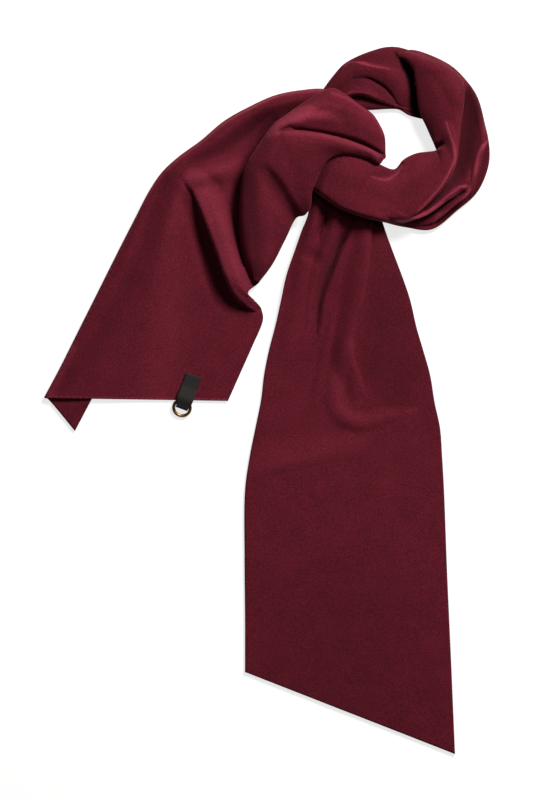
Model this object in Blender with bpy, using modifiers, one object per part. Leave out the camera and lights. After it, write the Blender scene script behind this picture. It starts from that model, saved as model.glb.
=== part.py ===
"""Fleece scarf, tied once in a half knot and laid flat, with a tape tab and a brass ring at one end.

Frame: the scarf lies on the plane z = 0, +Z up, +Y towards the neck loop, origin under the middle of
its outline.  Each stretch of cloth is an open sheet lofted through a few sections and thickened
to the fleece's own thickness.  The tables are in millimetres.
"""
import math

import bmesh
import bpy
from mathutils import Matrix, Vector

MM = 0.001

# Driving sizes, in millimetres.
FLEECE = 2.5                  # thickness of the fleece
SEAM_GAP = 0.3                # air between two pieces that touch
REST = FLEECE / 2             # height of the middle of a layer that lies on the ground
TURNED_WIDTH = 42             # width of the long edge that is turned under the left tail
TAPE_WIDTH = 16.4             # the tab's woven tape
TAPE_THICKNESS = 0.9
TAPE_LENGTH = 35.4            # from its sewn end to its bend
TAPE_BEND_WIDTH = 12.4        # where the tape is squeezed inside the ring
RING_WIRE = 3.3               # thickness of the ring's wire
RING_OUTSIDE = 20.0           # the ring's outer diameter
RING_TILT = math.radians(17.5)
RING_CENTRE = (-84.0, -7.8)
TAB_LEAN = math.radians(20.2)  # how far the tab leans off the Y axis

# The tape's way, as distances up the tab from the ring's centre.
BEND_SETBACK = 0.8            # how much nearer the ring's centre the bend is than the wire would put it
BEND_STRAIGHT = 2             # the straight stretch next to the bend
BESIDE_RING = 10.5            # as far as here the tape stays level with the ring
LOWER_RISE, LOWER_FLAT = 16, 23   # where the lower layer starts to rise, and where it lies flat
UPPER_FALL, UPPER_FALL_HEIGHT = 16, 7   # where the upper layer comes down, and how high it is there
UPPER_LANDING, UPPER_FLAT = 21, 25  # where the upper layer meets the lower one, and where it is flat
LANDING_LIFT = 0.3            # how much the upper layer is lifted where it meets the lower one
TAPE_SPREAD = 6               # the stretch in which the tape widens from its bend to its full width
BEND_STEPS = 4

ROUND_STEPS = 2               # mesh steps between two fold lines, and between two sections
HIDDEN_SIDES = 10
RING_SEGMENTS = 48
WIRE_SEGMENTS = 8

# Each row is a section across the cloth: start x, start y, end x, end y, and then a share and a height
# for each fold line named above the table: how far across the section the line lies, and how high the
# middle of the cloth is there.

# From under the loop to the hem: left edge, left crest, groove, middle crest, valley, main crest,
# its foot, right edge.
FRONT_TAIL = (
    (46, 205, 112, 205,  0, 9,  .09, 14,  .21, 10,  .36, 16,  .52, 12,  .76, 17,  .88, 10,  1, 8),
    (41, 178, 116, 178,  0, 7,  .12, 13,  .22, 8,  .38, 16,  .55, 11,  .75, 18,  .85, 8,  1, 6),
    (25, 140, 129, 140,  0, 4,  .10, 8,  .24, 6,  .35, 11,  .46, 5,  .62, 16,  .72, 6,  1, 5),
    (15, 100, 143, 100,  0, 3,  .10, 4,  .20, 4,  .26, 6,  .33, 4,  .53, 13,  .62, 5,  1, 4),
    (5, 60, 154, 60,  0, 2,  .12, 3,  .22, 3,  .27, 4,  .33, 3,  .48, 10,  .57, 4,  1, 3),
    (-3, 20, 165, 20,  0, REST,  .15, 2,  .25, 2,  .30, 3,  .36, 3,  .46, 7,  .58, 3,  1, 3),
    (-10, -14, 171, -14,  0, REST,  .15, REST,  .27, REST,  .35, 2,  .42, 3,  .5, 5,  .65, 5,  1, 2),
    (-17, -50, 175, -50,  0, REST,  .15, REST,  .27, REST,  .35, REST,
     .42, REST,  .5, REST,  .65, REST,  1, REST),
    (-21, -105, 178, -105,  0, REST,  .15, REST,  .27, REST,  .35, REST,
     .42, REST,  .5, REST,  .65, REST,  1, REST),
    (-21, -272, 188, -354,  0, REST,  .15, REST,  .27, REST,  .35, REST,
     .42, REST,  .5, REST,  .65, REST,  1, REST),
)

# From the hem to the knot: outer edge, outer crest, over the turned edge, panel, hollow, ridge,
# behind the ridge, inner edge.
LEFT_TAIL = (
    (-222, 3, -38, -1,  0, 4.1,  .08, 4.1,  .22, 4.1,  .34, REST,
     .6, REST,  .75, REST,  .9, REST,  1, REST),
    (-187, 70, -17, 52,  0, 4.2,  .08, 4.5,  .28, 4.1,  .40, REST,
     .6, REST,  .75, REST,  .9, REST,  1, REST),
    (-167, 110, -4, 82,  0, 4.2,  .08, 6,  .30, 4.4,  .44, 2,  .65, REST,  .8, REST,  .92, 1.6,  1, 2),
    (-146, 152, -6, 106,  0, 4.1,  .10, 8,  .30, 6,  .45, 4,  .68, 2,  .77, 15,  .88, 15,  1, 10),
    (-116, 210, -14, 138,  0, 4.1,  .10, 10,  .22, 10,  .32, 8,  .44, 4,  .53, 21,  .72, 17,  1, 5),
    (-86, 245, -22, 180,  0, 4.2,  .12, 13,  .22, 13,  .30, 13,  .38, 13,  .5, 22,  .70, 17,  1, 5),
    (-41, 278, -16, 222,  0, 4.5,  .12, 14,  .25, 14,  .4, 16,  .5, 18,  .62, 19,  .78, 14,  1, 6),
    (9, 304, 12, 273,  0, 8,  .12, 15,  .25, 18,  .38, 19,  .5, 18,  .65, 16,  .82, 13,  1, 11),
    (52, 310, 54, 284,  0, 16,  .12, 20,  .25, 22,  .38, 22,  .5, 21,  .65, 19,  .82, 18,  1, 18),
    (79, 304, 78, 288,  0, 17,  .12, 19,  .25, 21,  .38, 21,  .5, 20,  .65, 19,  .82, 18,  1, 18),
)

# From inside the loop to the tip: top tuck, top rim, upper pleat, its foot, crease, lower pleat,
# its slope, low rim, low tuck.
WRAP = (
    (116, 264, 117, 241,  .2, 8,  0, 11,  .2, 17,  .45, 18,  .62, 16,  .75, 18,  .9, 16,  1, 11,  .8, 8),
    (105, 284, 106, 239,  .1, 22,  0, 26,  .2, 33,  .5, 34,  .71, 32,  .84, 36,  .94, 37,  1, 36,  .9, 35),
    (91, 294, 89, 242,  .1, 28,  0, 32,  .2, 39,  .5, 40,  .68, 36,  .82, 43,  .93, 43,  1, 40,  .93, 38),
    (74, 304, 68, 240,  .1, 30,  0, 34,  .2, 41,  .45, 42,  .62, 37,  .78, 46,  .9, 46,  1, 41,  .93, 38),
    (52, 298, 52, 224,  .1, 32,  0, 35,  .12, 40,  .3, 42,  .43, 38,  .62, 47,  .85, 46,  1, 38,  .93, 34),
    (29, 287, 45, 204,  .08, 24,  0, 29,  .1, 38,  .2, 40,  .3, 39,  .55, 46,  .85, 41,  1, 34,  .93, 30),
    (8, 271, 42, 190,  .08, 18,  0, 23,  .1, 34,  .25, 40,  .38, 41,  .55, 42,  .8, 36,  1, 26,  .92, 21),
    (-10, 248, 31, 183,  .08, 16,  0, 19,  .1, 31,  .28, 38,  .45, 36,  .6, 31,  .8, 30,  1, 20,  .9, 14),
    (-21, 222, 21, 168,  .08, 16,  0, 19,  .1, 28,  .25, 33,  .42, 31,  .6, 29,  .8, 25,  1, 14,  .88, 8),
    (-26, 188, 13, 153,  .08, 16,  0, 18,  .1, 25,  .25, 29,  .42, 29,  .6, 27,  .8, 22,  1, 12,  .85, 7),
    (-23, 155, 3, 134,  .08, 15,  0, 17,  .1, 21,  .25, 23,  .42, 23,  .6, 22,  .8, 18,  1, 12,  .85, 8),
    (-14, 129, -8, 121,  .1, 14,  0, 15,  .1, 17,  .25, 18,  .42, 18,  .6, 17,  .8, 16,  1, 14,  .9, 13),
)

# From under the wrap, round the neck, to the fold at the top: inner tuck, inner rim, crown's near side,
# crown, tube's rim, its foot, second layer, its rim, outer tuck.
NECK_LOOP = (
    (54, 240, 50, 205,  .1, 25,  0, 27,  .2, 30,  .5, 31,  .75, 29,  .85, 28,  .93, 27,  1, 25,  .9, 23),
    (74, 249, 74, 193,  .1, 26,  0, 29,  .2, 33,  .5, 34,  .8, 31,  .88, 29,  .94, 27,  1, 25,  .93, 23),
    (99, 241, 99, 184,  .1, 22,  0, 26,  .2, 32,  .5, 33,  .8, 30,  .88, 27,  .94, 25,  1, 23,  .93, 21),
    (126, 229, 122, 179,  .1, 6,  0, 13,  .25, 26,  .5, 29,  .8, 24,  .88, 20,  .94, 15,  1, 10,  .93, 4),
    (142, 241, 147, 173,  .11, REST,  0, 12,  .25, 25,  .5, 27,
     .82, 19,  .86, 11,  .93, 11,  1, 6,  .86, REST),
    (163, 248, 183, 188,  .11, REST,  0, 12,  .2, 24,  .38, 26,  .56, 21,
     .6, 14,  .8, 14,  1, 7,  .86, REST),
    (171, 251, 212, 211,  .11, REST,  0, 13,  .15, 23,  .27, 26,
     .38, 23,  .43, 16,  .72, 16,  1, 7,  .86, REST),
    (168, 257, 222, 251,  .16, REST,  0, 13,  .12, 22,  .24, 26,
     .36, 24,  .44, 17,  .72, 17,  1, 7,  .86, REST),
    (162, 270, 216, 281,  .16, REST,  0, 12,  .12, 22,  .3, 26,  .56, 26,
     .64, 18,  .8, 16,  1, 7,  .86, REST),
    (157, 280, 206, 308,  .16, REST,  0, 12,  .12, 22,  .3, 26,  .6, 26,
     .72, 18,  .85, 14,  1, 7,  .86, REST),
    (155, 288, 184, 333,  .16, REST,  0, 13,  .12, 23,  .3, 27,  .6, 27,
     .74, 22,  .87, 15,  1, 8,  .86, REST),
    (154, 290, 160, 342,  .1, 19,  0, 21,  .12, 25,  .3, 28,  .6, 28,  .74, 26,  .87, 24,  1, 19,  .95, 16),
    (153, 289, 131, 348,  .1, 17,  0, 18,  .12, 19,  .3, 20,  .6, 20,  .74, 19,  .87, 18,  1, 17,  .95, 16),
)

# From the knot to under the fold at the top: outer tuck, outer rim, upper fold, its top, crease,
# lower ridge, gap, inner rim, inner tuck.
NECK_START = (
    (66, 318, 86, 297,  .16, REST,  0, 8,  .15, 14,  .3, 16,  .5, 16,  .65, 15,  .8, 12,  1, 7,  .84, REST),
    (79, 334, 98, 293,  .16, REST,  0, 9,  .15, 16,  .3, 19,  .45, 17,
     .65, 18,  .82, 13,  1, 6,  .84, REST),
    (100, 346, 113, 293,  .16, REST,  0, 9,  .15, 18,  .32, 20,  .5, 13,
     .7, 17,  .86, 10,  1, 6,  .84, REST),
    (118, 352, 128, 293,  .16, REST,  0, 9,  .15, 16,  .32, 18,  .6, 14,
     .8, 14,  .9, 10,  1, 6,  .84, REST),
    (136, 348, 142, 287,  .16, REST,  0, 8,  .15, 14,  .32, 16,  .6, 15.5,
     .8, 13,  .9, 10,  1, 6,  .84, REST),
    (148, 340, 152, 286,  .16, REST,  0, 6,  .15, 9,  .32, 11,  .6, 11,  .8, 10,  .9, 8,  1, 5,  .84, REST),
)

# The turned-under long edge: a row along its fold line, and how wide it is there.
TURNED_EDGE = (
    ((-221, 3), (-191, -31), TURNED_WIDTH),
    ((-187, 69), (-149, 88), TURNED_WIDTH),
    ((-146, 150), (-110, 168), TURNED_WIDTH),
    ((-116, 208), (-84, 186), 36),
    ((-86, 243), (-66, 218), 30),
    ((-41, 276), (-31, 252), 24),
    ((2, 299), (6, 279), 20),
)

# The layers inside the knot and the loop: middle x and y, half width, height.
HIDDEN_LAYERS = (
    (-6, 158, 5, 9),
    (-1, 178, 9, 15),
    (8, 205, 13, 22),
    (24, 232, 15, 28),
    (46, 254, 15, 31),
    (66, 262, 13, 30),
    (84, 256, 12, 22),
    (98, 238, 9, 13),
    (110, 222, 8, 11),
    (128, 211, 10, 12),
    (156, 206, 12, 13.8),
    (180, 224, 11, 13),
    (190, 250, 11, 12),
    (186, 276, 11, 13),
    (172, 300, 10, 13),
    (160, 312, 7, 8),
)


def clear_scene():
    """Remove what the new file holds."""
    for item in list(bpy.data.objects):
        bpy.data.objects.remove(item, do_unlink=True)


def make_material(name, colour, roughness, metallic=0.0):
    """A plain finish for one piece."""
    material = bpy.data.materials.new(name)
    material.use_nodes = True
    shader = material.node_tree.nodes["Principled BSDF"]
    shader.inputs["Base Color"].default_value = (*colour, 1.0)
    shader.inputs["Roughness"].default_value = roughness
    shader.inputs["Metallic"].default_value = metallic
    return material


def curve_through(points, steps):
    """Points on a smooth curve through the given ones, with so many steps between each two."""
    ends = [2 * points[0] - points[1], *points, 2 * points[-1] - points[-2]]
    curve = []
    for before, start, end, after in zip(ends, ends[1:], ends[2:], ends[3:]):
        for step in range(steps):
            t = step / steps
            curve.append(0.5 * (2 * start + (end - before) * t
                                + (2 * before - 5 * start + 4 * end - after) * t ** 2
                                + (3 * start - before - 3 * end + after) * t ** 3))
    return [*curve, points[-1]]


def section_points(section):
    """The fold lines' points on one straight section, with their heights."""
    start_x, start_y, end_x, end_y = section[:4]
    return [Vector((start_x + (end_x - start_x) * share, start_y + (end_y - start_y) * share, height))
            for share, height in zip(section[4::2], section[5::2])]


def sheet_rows(sections):
    """A smooth grid of points through all the sections, nowhere lower than a layer on the ground."""
    rows = [section_points(section) for section in sections]
    lines = [curve_through(list(line), ROUND_STEPS) for line in zip(*rows)]
    grid = [curve_through(list(row), ROUND_STEPS) for row in zip(*lines)]
    for row in grid:
        for point in row:
            point.z = max(point.z, REST)
    return grid


def add_object(name, mesh, material, collection):
    """Put a finished mesh in the scene under its own name."""
    mesh.materials.append(material)
    item = bpy.data.objects.new(name, mesh)
    collection.objects.link(item)
    return item


def grid_mesh(name, grid, closed=False):
    """A mesh of four-sided faces over a grid of points in millimetres, capped at its ends if closed."""
    sheet = bmesh.new()
    rows = [[sheet.verts.new(point * MM) for point in row] for row in grid]
    columns = len(grid[0])
    for near, far in zip(rows, rows[1:]):
        for column in range(columns if closed else columns - 1):
            beside = (column + 1) % columns
            sheet.faces.new((near[column], near[beside], far[beside], far[column]))
    if closed:
        sheet.faces.new(rows[0])
        sheet.faces.new(rows[-1])
    bmesh.ops.recalc_face_normals(sheet, faces=sheet.faces)
    mesh = bpy.data.meshes.new(name)
    sheet.to_mesh(mesh)
    sheet.free()
    mesh.shade_smooth()
    return mesh


def add_cloth(name, grid, material, collection, thickness=FLEECE):
    """One stretch of cloth: an open sheet, thickened evenly to both sides."""
    cloth = add_object(name, grid_mesh(name, grid), material, collection)
    wall = cloth.modifiers.new("cloth thickness", "SOLIDIFY")
    wall.thickness = thickness * MM
    wall.offset = 0.0
    return cloth


def add_turned_edge(material, collection):
    """The long edge that is folded flat under the left tail's outer side."""
    grid = []
    for fold, inner, width in TURNED_EDGE:
        fold = Vector((*fold, REST))
        across = (Vector((*inner, REST)) - fold).normalized() * width
        grid.append([fold, fold + across / 2, fold + across])
    return add_cloth("turned_edge", grid, material, collection)


def add_hidden_layers(material, collection):
    """The layers inside the knot and the loop, as one rounded solid with a flat underside."""
    middles = curve_through([Vector((x, y, 0)) for x, y, _, _ in HIDDEN_LAYERS], ROUND_STEPS)
    sizes = curve_through([Vector((half, height, 0)) for _, _, half, height in HIDDEN_LAYERS], ROUND_STEPS)
    grid = []
    for index, (middle, size) in enumerate(zip(middles, sizes)):
        ahead = middles[min(index + 1, len(middles) - 1)] - middles[max(index - 1, 0)]
        across = Vector((-ahead.y, ahead.x, 0)).normalized()
        row = []
        for side in range(HIDDEN_SIDES):
            turn = math.pi * side / (HIDDEN_SIDES - 1)
            row.append(middle + across * size.x * math.cos(turn)
                       + Vector((0, 0, size.y * math.sin(turn))))
        grid.append(row)
    return add_object("hidden_layers", grid_mesh("hidden_layers", grid, closed=True), material, collection)


def tab_frame():
    """The ring's place: X across the tab, Y up the tab, Z square to the ring's plane."""
    height = RING_WIRE / 2 + (RING_OUTSIDE - RING_WIRE) / 2 * math.sin(RING_TILT)
    place = Matrix.Translation(Vector((*RING_CENTRE, height)) * MM)
    return place @ Matrix.Rotation(-TAB_LEAN, 4, "Z") @ Matrix.Rotation(RING_TILT, 4, "X")


def add_tab(material, collection):
    """The tape, folded double round the ring: a strip along one route, thickened to both sides."""
    apart = RING_WIRE / 2 + SEAM_GAP + TAPE_THICKNESS / 2
    bend = apart - BEND_SETBACK
    frame = tab_frame()
    level = frame.inverted()
    top = TAPE_LENGTH - BEND_SETBACK
    lying = FLEECE + SEAM_GAP + TAPE_THICKNESS / 2
    doubled = lying + TAPE_THICKNESS + SEAM_GAP

    def at_height(along, height):
        """A point up the tab at a height over the ground, in the ring's frame."""
        world = Vector((*RING_CENTRE, 0)) + Vector((math.sin(TAB_LEAN), math.cos(TAB_LEAN), 0)) * along
        world.z = height
        local = level @ (world * MM)
        return Vector((0, local.y / MM, local.z / MM))

    route = [at_height(top, lying), at_height(LOWER_FLAT, lying), at_height(LOWER_RISE, lying)]
    route += [Vector((0, BESIDE_RING, -apart)), Vector((0, bend + BEND_STRAIGHT, -apart))]
    for step in range(BEND_STEPS + 1):
        turn = math.pi * step / BEND_STEPS
        route.append(Vector((0, bend - apart * math.sin(turn), -apart * math.cos(turn))))
    route += [Vector((0, bend + BEND_STRAIGHT, apart)), Vector((0, BESIDE_RING, apart))]
    route += [at_height(UPPER_FALL, UPPER_FALL_HEIGHT), at_height(UPPER_LANDING, doubled + LANDING_LIFT)]
    route += [at_height(UPPER_FLAT, doubled), at_height(top, doubled)]
    grid = []
    for point in route:
        opening = min(max((point.y - bend) / TAPE_SPREAD, 0), 1)
        half = (TAPE_BEND_WIDTH + (TAPE_WIDTH - TAPE_BEND_WIDTH) * opening) / 2
        grid.append([(frame @ ((point + Vector((half * side, 0, 0))) * MM)) / MM for side in (-1, 0, 1)])
    return add_cloth("tab_tape", grid, material, collection, TAPE_THICKNESS)


def add_ring(material, collection):
    """The brass ring, its origin and Z axis on the axis that it turns about."""
    bpy.ops.mesh.primitive_torus_add(
        major_segments=RING_SEGMENTS, minor_segments=WIRE_SEGMENTS,
        major_radius=(RING_OUTSIDE - RING_WIRE) / 2 * MM, minor_radius=RING_WIRE / 2 * MM)
    ring = bpy.context.object
    ring.name = "ring"
    ring.data.name = "ring"
    ring.matrix_world = tab_frame()
    ring.data.shade_smooth()
    ring.data.materials.append(material)
    for old in list(ring.users_collection):
        old.objects.unlink(ring)
    collection.objects.link(ring)
    return ring


def build():
    """Every piece of the scarf."""
    clear_scene()
    scarf = bpy.data.collections.new("fleece_scarf")
    bpy.context.scene.collection.children.link(scarf)
    stretches = {
        "front_tail": (FRONT_TAIL, (0.13, 0.014, 0.026)),
        "left_tail": (LEFT_TAIL, (0.12, 0.013, 0.025)),
        "wrap": (WRAP, (0.14, 0.016, 0.028)),
        "neck_loop": (NECK_LOOP, (0.13, 0.014, 0.027)),
        "neck_start": (NECK_START, (0.11, 0.012, 0.024)),
    }
    for name, (sections, colour) in stretches.items():
        add_cloth(name, sheet_rows(sections), make_material(name + " fleece", colour, 0.95), scarf)
    add_turned_edge(make_material("turned_edge fleece", (0.09, 0.01, 0.02), 0.95), scarf)
    add_hidden_layers(make_material("hidden_layers fleece", (0.06, 0.007, 0.014), 1.0), scarf)
    add_tab(make_material("tab_tape weave", (0.03, 0.03, 0.028), 0.8), scarf)
    add_ring(make_material("ring brass", (0.38, 0.26, 0.14), 0.35, 1.0), scarf)


build()
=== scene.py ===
"""Looks of the fleece scarf: brushed burgundy fleece, knotted once and laid flat on a pale ground.

Every stretch of cloth is a thin sheet.  A net of points gives its form, and folds laid on it one by one
give its creases and ridges.  All the tables are in millimetres, in the scarf's own frame.
"""

import math

import bpy
import numpy as np
from mathutils import Matrix, Vector, noise


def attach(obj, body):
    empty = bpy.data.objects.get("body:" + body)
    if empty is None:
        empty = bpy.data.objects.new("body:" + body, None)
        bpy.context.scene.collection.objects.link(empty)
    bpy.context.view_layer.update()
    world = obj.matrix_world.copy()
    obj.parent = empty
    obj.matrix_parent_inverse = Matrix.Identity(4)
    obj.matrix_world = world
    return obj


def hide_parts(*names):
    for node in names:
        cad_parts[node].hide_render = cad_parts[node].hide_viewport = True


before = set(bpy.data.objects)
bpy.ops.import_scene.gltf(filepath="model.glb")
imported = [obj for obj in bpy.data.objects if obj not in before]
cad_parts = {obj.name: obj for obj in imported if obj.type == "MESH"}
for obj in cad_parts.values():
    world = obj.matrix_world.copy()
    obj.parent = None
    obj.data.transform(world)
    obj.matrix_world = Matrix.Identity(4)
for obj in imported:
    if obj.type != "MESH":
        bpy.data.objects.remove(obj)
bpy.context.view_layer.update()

MM = 0.001

# ---------------------------------------------------------------- sizes

FLEECE = 2.5                  # thickness of the fleece
REST = FLEECE / 2             # height of the middle of a layer that lies on the ground
CELL = 1.8                    # size of a mesh cell on the tails
FINE_CELL = 1.2               # size of a mesh cell on the knot and the neck loop
WAVE_LENGTH = 38.0            # length of the slight waves in cloth laid by hand
WAVE_HEIGHT = 0.5
NET_STEPS = 12                # steps of a smooth curve between two points of a net or a fold
COARSE_STEPS = 6              # the same for the tape and the hidden layers
DARKEST_PAINTED_SHADE = -.95            # the most that painted shade darkens the fleece's colour

CAMERA_HEIGHT = 6000.0        # far enough that the folds' heights hardly shift them
FIELD_LENGTH = 800.0          # the length of ground that the camera frames, at 1 mm a pixel
FIELD_MIDDLE = (0.5, 0.0)

# ---------------------------------------------------------------- the front tail

# Its two edges and the height of its left edge, its middle and its right edge, from under the neck loop
# to the hem: left x, left y, right x, right y, left height, middle height, right height.
FRONT_TAIL = (
    (37, 214, 108, 212, 7, 8, 5),
    (43, 188, 114, 185, 11, 13, 7),
    (36, 170, 120, 166, 10, 13, 9),
    (29, 150, 126, 150, 8, 11, 10),
    (20.5, 125, 135.5, 125, 6, 9, 10),
    (15, 100, 144, 100, 4.5, 7, 9),
    (9.5, 75, 150.5, 72, 3.5, 5, 8),
    (3, 50, 157, 50, 2.5, 4, 7),
    (-2, 25, 164, 25, 1.5, 2.5, 6),
    (-5, 0, 168.5, -2, REST, 2.5, 4.5),
    (-10, -25, 174, -28, REST, 2, 3),
    (-16, -55, 176, -55, REST, REST, 2),
    (-21, -90, 178, -90, REST, REST, REST),
    (-21.5, -160, 181, -170, REST, REST, REST),
    (-21, -220, 185, -260, REST, REST, REST),
    (-21, -272, 189, -354, REST, REST, REST),
)

# A fold is walked from its first point to its last.  Each point is x, y, height (below zero for a
# trough), and how far the fold reaches to the left and to the right of the walk.  After the points come
# how steeply its left and right flanks fall (2 is soft, 6 is a wall), how far it leans over to its
# right, and its painted light: how much lighter (or darker, below zero) the fleece's colour is painted
# there, as a share of its own colour.  It paints highlights on rims and ridges, and painted shade in
# hollows, creases and under overhangs.  A fold whose heights are all 0 only paints light or shade.
FRONT_TAIL_FOLDS = {
    "main ridge": ((
        (91, 0, 0, 10, 12), (88, 22, 4, 16, 7), (84, 40, 7, 20, 4), (83.5, 55, 9, 20, 3),
        (87, 75, 9, 20, 3), (93, 97, 9, 22, 3), (97, 120, 9, 22, 3), (100, 145, 8, 18, 3),
        (102, 165, 6, 15, 3), (103, 185, 4, 13, 3), (101, 205, 4, 13, 3)), 2, 4, 1, .04),
    "painted shade on the right panel": ((
        (108, 196, 0, 8, 8), (114, 165, 0, 14, 13), (118, 140, 0, 19, 16), (120, 90, 0, 32, 26),
        (122, 50, 0, 38, 34), (126, 20, 0, 38, 32), (130, 2, 0, 20, 16)), 4, 5, 0, -.2),
    "darker hem": ((
        (80, -230, 0, 120, 120), (85, -290, 0, 120, 120), (88, -360, 0, 120, 120)), 2, 2, 0, -.12),
    "shade in the valley": ((
        (52, 66, 0, 1, 1), (53, 84, 0, 3, 2), (55.5, 100, 0, 5, 3), (60, 116, 0, 6, 3),
        (65, 130, 0, 6, 3), (73, 148, 0, 5, 3), (79, 160, 0, 4, 3)), 2, 2, 0, -.5),
    "shade under the neck loop": ((
        (45, 214, 0, 6, 8), (52, 206, 0, 6, 8), (61, 199, 0, 6, 8), (73, 191, 0, 6, 8),
        (90, 184, 0, 6, 9), (112, 179, 0, 6, 10), (122, 176, 0, 6, 8)), 3, 3, 0, -.7),
    "valley beside the main ridge": ((
        (50, 60, 0, 8, 5), (51, 78, -3, 8, 6), (53, 98, -6, 9, 6), (58, 115, -9, 9, 6),
        (64, 130, -10, 9, 6), (71, 147, -10, 9, 5), (77, 159, -8, 8, 5), (83, 170, -3, 7, 5),
        (88, 180, -1, 6, 6)), 2, 2, 0, -.2),
    "knot valley": ((
        (51, 158, 0, 5, 5), (54, 169, -4, 5, 4), (60, 178, -7, 5, 4), (62, 186, -8, 5, 4),
        (59, 197, -8, 5, 5)), 2, 2, 0),
    "left crest": ((
        (19, 30, 0, 12, 10), (24, 65, 1, 12, 10), (31, 100, 2, 12, 10), (37, 135, 3, 11, 9),
        (43, 160, 4, 9, 8), (48, 178, 5, 8, 7), (52, 197, 5, 8, 7)), 2, 2, 0),
    "middle crest": ((
        (44, 98, .5, 10, 9), (50, 125, 1.5, 10, 9), (60, 150, 3, 9, 9), (67, 170, 4, 8, 9),
        (70, 188, 5, 7, 9), (68, 200, 5, 7, 9)), 2, 2, 0),
    "dimple": ((
        (34, 150, 0, 9, 9), (43, 144, -1.6, 11, 9), (51, 140, -1.6, 11, 9),
        (58, 137, 0, 9, 9)), 2, 2, 0),
    "soft line": ((
        (49, -15, 0, 6, 6), (51, 10, 1.2, 6, 6), (54, 25, 1.5, 6, 6), (59, 50, 1.5, 6, 6),
        (65, 72, 1.5, 6, 6), (70, 88, .5, 6, 6)), 2, 2, 0),
    "bent end of the main ridge": ((
        (83, 55, 1, 10, 10), (75, 38, 2, 12, 12), (71, 18, 2.8, 13, 14), (70, 0, 3, 12, 14),
        (76, -14, 3, 12, 14), (92, -22, 2.8, 12, 12), (116, -17, 1.8, 11, 10), (134, -13, 1, 9, 8),
        (148, -11, 0, 7, 6)), 2, 2, 0, .15),
    "low wave": ((
        (-16, -68, .5, 28, 12), (9, -64, 1.8, 30, 14), (34, -58, 1.8, 30, 14), (64, -50, 1, 24, 14),
        (94, -45, 0, 20, 14)), 2, 2, 0, .14),
}

# ---------------------------------------------------------------- the left tail

# One sheet with its long edge turned under: fold x, fold y, inner edge x and y, turned raw edge x and y,
# and heights of the fold, its crest, the middle, the inner third and the inner edge; hem to knot.
LEFT_TAIL = (
    (-221, 2, -38, -1, -191, -31, 2.7, 5.2, 3.4, REST, REST),
    (-206, 30, -26, 26, -169, 11, 2.7, 6.5, 4, REST, REST),
    (-186, 70, -14, 53, -149, 51, 2.7, 6.5, 4.5, REST, REST),
    (-166, 110, -3, 80, -129, 91, 2.7, 7, 6, 1.5, REST),
    (-146, 150, -4, 89, -109, 131, 3, 9, 8, 3, 1.5),
    (-130, 181, -8, 97, -94, 163, 4, 10.5, 9.5, 3.5, 3),
    (-116, 208, -16, 109, -84, 190, 5, 12, 10.5, 4, 5),
    (-103, 227, -6, 119, -78, 210, 6, 13, 11, 5, 6),
    (-87, 242, -9, 133, -68, 222, 6, 14, 11, 7, 6),
    (-65, 258, -11, 150, -50, 238, 6, 15.5, 11, 8, 6),
    (-41, 278, -10, 175, -28, 256, 7, 18, 8, 8, 6),
    (-16, 292, -4, 205, -6, 270, 8, 19, 8, 7, 6),
    (9, 303, 9, 240, 14, 283, 9, 20, 19, 7, 7),
    (34, 308, 29, 265, 36, 290, 10, 22, 23, 12, 8),
    (59, 309, 54, 282, 57, 294, 11, 24, 25, 18, 10),
    (76, 301, 72, 288, 72, 292, 12, 24, 25, 20, 13),
)

LEFT_TAIL_SHARES = (.06, .28, .68, 1)   # where the crest, middle, inner third and inner edge lie
FOLD_ROUND = 1.6                        # how far the layers turn in from the fold
PRESSED_FOLD = 4                        # a fold lower than this lies pressed flat
PRESSED_TOP = 4.2                       # its upper layer's least height
OPEN_FOLD_RISE = 3                      # how far an open fold's upper layer rises over the fold

# The painted shade of each line of the net, from the turned raw edge, which is in shade, to the inner
# edge.
LEFT_TAIL_PAINTED_SHADE = (-.13, -.13, 0, 0, 0, 0, 0, 0)

# The last number of each fold is its painted light: highlights on rims and ridges, painted shade in
# hollows and creases.
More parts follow.
